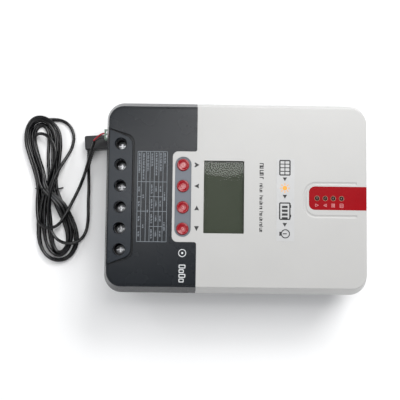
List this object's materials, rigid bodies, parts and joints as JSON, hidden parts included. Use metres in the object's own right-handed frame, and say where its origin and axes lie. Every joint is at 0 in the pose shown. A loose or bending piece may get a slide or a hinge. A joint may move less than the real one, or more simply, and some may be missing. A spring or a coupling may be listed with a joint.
{
  "type": "solar charge controller",
  "caption": "Solar battery charge controller: finned aluminium base, two-tone cover, display, push buttons, screw terminals and a wound cord with a temperature probe.",
  "frame": {"origin": "centre of the controller's underside, lying on its back, without the free cord", "axes": "+X along the long side from the terminals to the status lights, +Y along the short side towards the sensor plug, +Z out of the front face"},
  "size_m": [0.3278, 0.173, 0.0725],
  "materials": {
    "cast_aluminium": "black anodised casting",
    "light_plastic": "satin moulded, fine texture",
    "dark_plastic": "satin moulded, fine texture",
    "slate_plastic": "satin moulded",
    "window_clear": "clear, slightly tinted",
    "lcd_olive": "dark olive display",
    "strip_grey": "satin",
    "button_red": "gloss",
    "label_red": "gloss film",
    "sticker_film": "satin film",
    "led_body": "tinted",
    "board_green": "solder mask",
    "part_black": "moulded",
    "capacitor_can": "sleeved",
    "core_iron": "coated powder core",
    "copper_wire": "enamelled",
    "plated_brass": "tin plated",
    "steel_bright": "bright zinc plated",
    "steel_dark": "black zinc",
    "bar_aluminium": "milled",
    "pad_grey": "silicone",
    "plug_green": "moulded",
    "cord_black": "satin PVC",
    "core_red": "satin PVC",
    "core_black": "satin PVC",
    "probe_black": "moulded"
  },
  "bodies": {
    "controller": {"board_link": "part_black", "board_screws": "steel_bright", "board_standoffs": "plated_brass", "bulk_capacitors": "capacitor_can", "button_strip": "strip_grey", "case_screws": "steel_dark", "comm_port": "part_black", "control_board": "board_green", "cord_hank": "cord_black", "current_shunts": "plated_brass", "front_sticker": "sticker_film", "hank_tie": "cord_black", "heatsink_base": "cast_aluminium", "inductor_cores": "core_iron", "inductor_windings": "copper_wire", "lcd_module": "lcd_olive", "lcd_window": "window_clear", "lead_plug_side": "cord_black", "lead_probe_side": "cord_black", "led_label": "label_red", "lower_cover": "dark_plastic", "plug_screws": "steel_bright", "power_board": "board_green", "power_transistors": "part_black", "probe_strain_relief": "probe_black", "sensor_core_black": "core_black", "sensor_core_red": "core_red", "sensor_header": "plug_green", "sensor_plug": "plug_green", "sensor_probe": "probe_black", "status_leds": "led_body", "tact_switches": "part_black", "terminal_bars": "plated_brass", "terminal_block": "part_black", "terminal_cover": "slate_plastic", "thermal_pads": "pad_grey", "transistor_clamp_bar": "bar_aluminium", "upper_cover": "light_plastic"},
    "button_1": {"button_1": "button_red", "switch_plunger_1": "part_black"},
    "button_2": {"button_2": "button_red", "switch_plunger_2": "part_black"},
    "button_3": {"button_3": "button_red", "switch_plunger_3": "part_black"},
    "button_4": {"button_4": "button_red", "switch_plunger_4": "part_black"},
    "screw_1": {"terminal_screw_1": "steel_bright"},
    "clamp_1": {"terminal_clamp_1": "plated_brass"},
    "screw_2": {"terminal_screw_2": "steel_bright"},
    "clamp_2": {"terminal_clamp_2": "plated_brass"},
    "screw_3": {"terminal_screw_3": "steel_bright"},
    "clamp_3": {"terminal_clamp_3": "plated_brass"},
    "screw_4": {"terminal_screw_4": "steel_bright"},
    "clamp_4": {"terminal_clamp_4": "plated_brass"},
    "screw_5": {"terminal_screw_5": "steel_bright"},
    "clamp_5": {"terminal_clamp_5": "plated_brass"},
    "screw_6": {"terminal_screw_6": "steel_bright"},
    "clamp_6": {"terminal_clamp_6": "plated_brass"}
  },
  "joints": [
    {"name": "press_1", "type": "slide", "parent": "controller", "child": "button_1", "axis": [0, 0, -1], "range_m": [0, 0.0006], "stiffness_N_per_m": 2700},
    {"name": "press_2", "type": "slide", "parent": "controller", "child": "button_2", "axis": [0, 0, -1], "range_m": [0, 0.0006], "stiffness_N_per_m": 2700},
    {"name": "press_3", "type": "slide", "parent": "controller", "child": "button_3", "axis": [0, 0, -1], "range_m": [0, 0.0006], "stiffness_N_per_m": 2700},
    {"name": "press_4", "type": "slide", "parent": "controller", "child": "button_4", "axis": [0, 0, -1], "range_m": [0, 0.0006], "stiffness_N_per_m": 2700},
    {"name": "screw_turn_1", "type": "hinge", "parent": "controller", "child": "screw_1", "pos_m": [-0.1048, 0.0466, 0.05], "axis": [0, 0, -1], "range_deg": [0, 1981]},
    {"name": "clamp_lift_1", "type": "slide", "parent": "controller", "child": "clamp_1", "axis": [0, 0, 1], "range_m": [0, 0.0055]},
    {"name": "screw_turn_2", "type": "hinge", "parent": "controller", "child": "screw_2", "pos_m": [-0.1048, 0.02766, 0.05], "axis": [0, 0, -1], "range_deg": [0, 1981]},
    {"name": "clamp_lift_2", "type": "slide", "parent": "controller", "child": "clamp_2", "axis": [0, 0, 1], "range_m": [0, 0.0055]},
    {"name": "screw_turn_3", "type": "hinge", "parent": "controller", "child": "screw_3", "pos_m": [-0.1048, 0.00872, 0.05], "axis": [0, 0, -1], "range_deg": [0, 1981]},
    {"name": "clamp_lift_3", "type": "slide", "parent": "controller", "child": "clamp_3", "axis": [0, 0, 1], "range_m": [0, 0.0055]},
    {"name": "screw_turn_4", "type": "hinge", "parent": "controller", "child": "screw_4", "pos_m": [-0.1048, -0.01022, 0.05], "axis": [0, 0, -1], "range_deg": [0, 1981]},
    {"name": "clamp_lift_4", "type": "slide", "parent": "controller", "child": "clamp_4", "axis": [0, 0, 1], "range_m": [0, 0.0055]},
    {"name": "screw_turn_5", "type": "hinge", "parent": "controller", "child": "screw_5", "pos_m": [-0.1048, -0.02916, 0.05], "axis": [0, 0, -1], "range_deg": [0, 1981]},
    {"name": "clamp_lift_5", "type": "slide", "parent": "controller", "child": "clamp_5", "axis": [0, 0, 1], "range_m": [0, 0.0055]},
    {"name": "screw_turn_6", "type": "hinge", "parent": "controller", "child": "screw_6", "pos_m": [-0.1048, -0.0481, 0.05], "axis": [0, 0, -1], "range_deg": [0, 1981]},
    {"name": "clamp_lift_6", "type": "slide", "parent": "controller", "child": "clamp_6", "axis": [0, 0, 1], "range_m": [0, 0.0055]}
  ],
  "couplings": [
    {"joint": "screw_turn_1", "follows": "clamp_lift_1", "rad_per_m": 6283.2},
    {"joint": "screw_turn_2", "follows": "clamp_lift_2", "rad_per_m": 6283.2},
    {"joint": "screw_turn_3", "follows": "clamp_lift_3", "rad_per_m": 6283.2},
    {"joint": "screw_turn_4", "follows": "clamp_lift_4", "rad_per_m": 6283.2},
    {"joint": "screw_turn_5", "follows": "clamp_lift_5", "rad_per_m": 6283.2},
    {"joint": "screw_turn_6", "follows": "clamp_lift_6", "rad_per_m": 6283.2}
  ]
}
